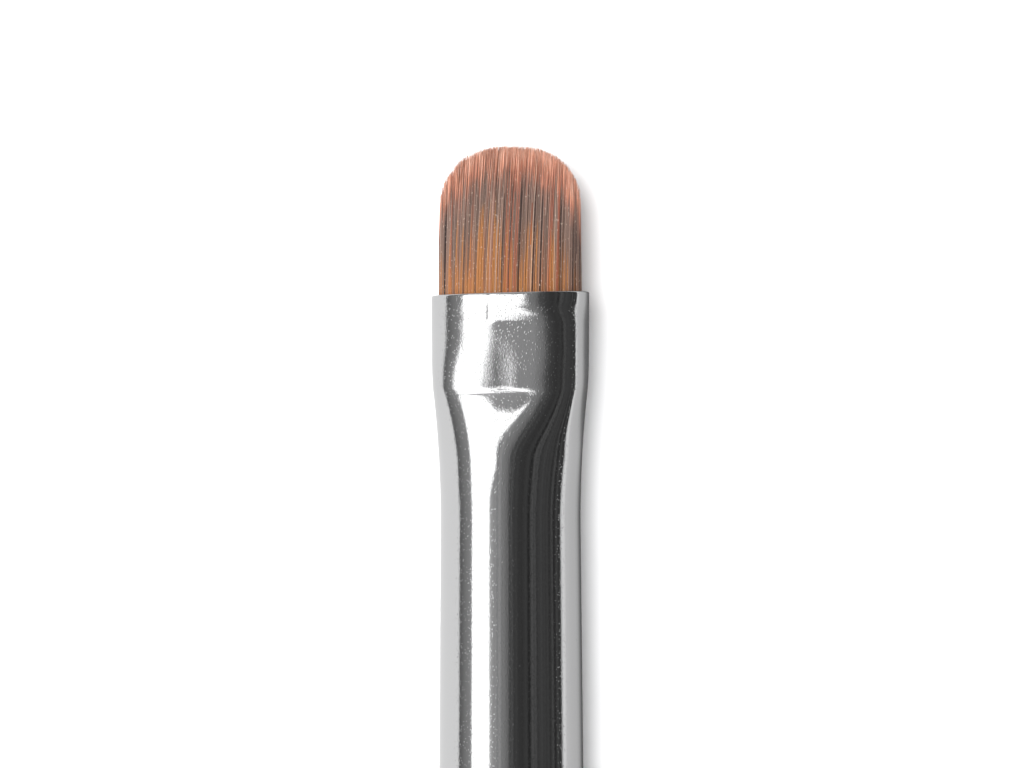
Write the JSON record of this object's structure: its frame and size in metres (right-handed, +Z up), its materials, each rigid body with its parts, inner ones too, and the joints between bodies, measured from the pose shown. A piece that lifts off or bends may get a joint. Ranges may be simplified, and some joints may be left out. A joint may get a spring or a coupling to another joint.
{
  "type": "filbert brush",
  "caption": "Short flat filbert brush: an oval tuft of synthetic filaments set in a pressed metal ferrule on a turned wooden handle.",
  "frame": {"origin": "centre of the bounding box's base, on the table under the handle's belly", "axes": "+Y along the brush towards its tip, +Z up out of one of the tuft's two flat sides, +X across the tuft's width"},
  "size_m": [0.0088, 0.18, 0.0087],
  "materials": {
    "nickel": "bright nickel plate with fine drawing lines and small pits",
    "lacquered_wood": "turned wood under clear gloss lacquer",
    "epoxy": "clear amber, cured",
    "thread": "twisted undyed thread",
    "filament": "fine tapered synthetic filaments, golden brown at the ferrule and salmon at the tips"
  },
  "bodies": {
    "brush": {"ferrule": "nickel", "handle": "lacquered_wood", "tenon_glue": "epoxy", "epoxy_plug": "epoxy", "binding_thread": "thread", "root_bundle": "filament"},
    "tuft": {"hair_core_1": "filament", "hair_core_2": "filament", "hair_core_3": "filament", "hair_core_4": "filament", "hair_core_5": "filament", "hair_core_6": "filament", "hair_core_7": "filament", "hair_lower_1": "filament", "hair_lower_2": "filament", "hair_lower_3": "filament", "hair_lower_4": "filament", "hair_lower_5": "filament", "hair_lower_6": "filament", "hair_lower_7": "filament", "hair_upper_1": "filament", "hair_upper_2": "filament", "hair_upper_3": "filament", "hair_upper_4": "filament", "hair_upper_5": "filament", "hair_upper_6": "filament", "hair_upper_7": "filament"}
  },
  "joints": [
    {"name": "tuft_bend", "type": "hinge", "parent": "brush", "child": "tuft", "pos_m": [0, 0.0839, 0.00437], "axis": [1, 0, 0], "range_deg": [-30, 30], "stiffness_Nm_per_rad": 0.0036}
  ]
}
